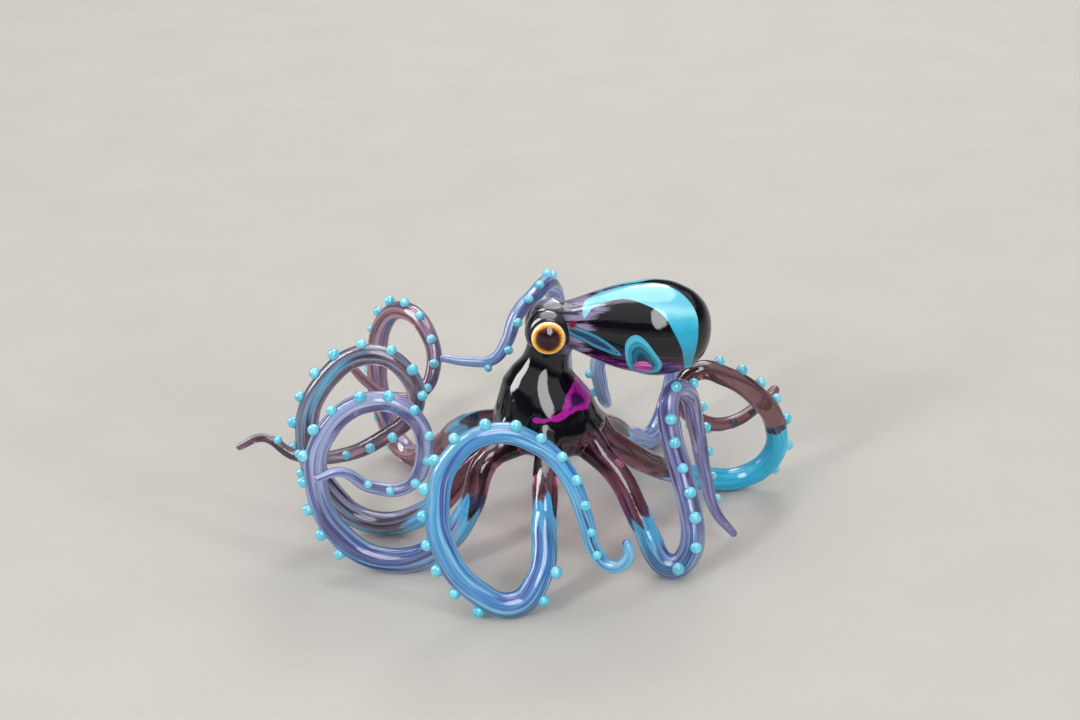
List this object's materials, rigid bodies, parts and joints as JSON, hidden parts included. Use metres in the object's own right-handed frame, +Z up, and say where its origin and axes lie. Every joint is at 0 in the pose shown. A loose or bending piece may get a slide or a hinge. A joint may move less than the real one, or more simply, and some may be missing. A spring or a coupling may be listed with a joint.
{
  "type": "octopus figurine",
  "caption": "Lampwork glass octopus figurine on curled arms with rows of sucker beads, bell body, eyes with clear lenses and a striped mantle.",
  "frame": {"origin": "centre of the figurine's bounding box on the table it stands on", "axes": "+Z up; +X towards the end of the mantle, the longest way; +Y away from the near eye, towards the back arms"},
  "size_m": [0.1405, 0.1152, 0.0694],
  "materials": {
    "body_black": "polished near-black purple glass",
    "amethyst_clear": "clear amethyst glass",
    "coil_lavender": "lavender and turquoise streaked glass",
    "coil_brown": "clear brown-purple streaked glass",
    "turquoise": "opaque turquoise glass",
    "sucker_turquoise": "opaque turquoise glass beads",
    "pink": "pink glass",
    "amber": "amber glass",
    "pupil_dark": "dark red-brown glass",
    "eye_clear": "clear glass",
    "socket_dark": "dark clear purple glass"
  },
  "bodies": {
    "root": {"arm_back_coil": "coil_lavender", "arm_back_left_coil": "coil_brown", "arm_back_left_leg": "amethyst_clear", "arm_back_left_suckers": "sucker_turquoise", "arm_back_leg": "amethyst_clear", "arm_back_right_coil": "coil_brown", "arm_back_right_leg": "amethyst_clear", "arm_back_right_suckers": "sucker_turquoise", "arm_back_suckers": "sucker_turquoise", "arm_collar": "amethyst_clear", "arm_front_coil": "coil_lavender", "arm_front_leg": "amethyst_clear", "arm_front_suckers": "sucker_turquoise", "arm_left_coil": "coil_brown", "arm_left_front_coil": "coil_lavender", "arm_left_front_leg": "amethyst_clear", "arm_left_front_suckers": "sucker_turquoise", "arm_left_leg": "amethyst_clear", "arm_left_suckers": "sucker_turquoise", "arm_right_coil": "coil_lavender", "arm_right_front_coil": "coil_lavender", "arm_right_front_leg": "amethyst_clear", "arm_right_front_suckers": "sucker_turquoise", "arm_right_leg": "amethyst_clear", "arm_right_suckers": "sucker_turquoise", "body_bell": "body_black", "eye_iris_far": "amber", "eye_iris_near": "amber", "eye_lens_far": "eye_clear", "eye_lens_near": "eye_clear", "eye_pupil_far": "pupil_dark", "eye_pupil_near": "pupil_dark", "eye_socket_far": "socket_dark", "eye_socket_near": "socket_dark", "mantle": "body_black", "mantle_band": "turquoise", "mantle_heart": "pink", "mantle_leaf": "turquoise", "mantle_neck_line": "turquoise"}
  },
  "joints": []
}
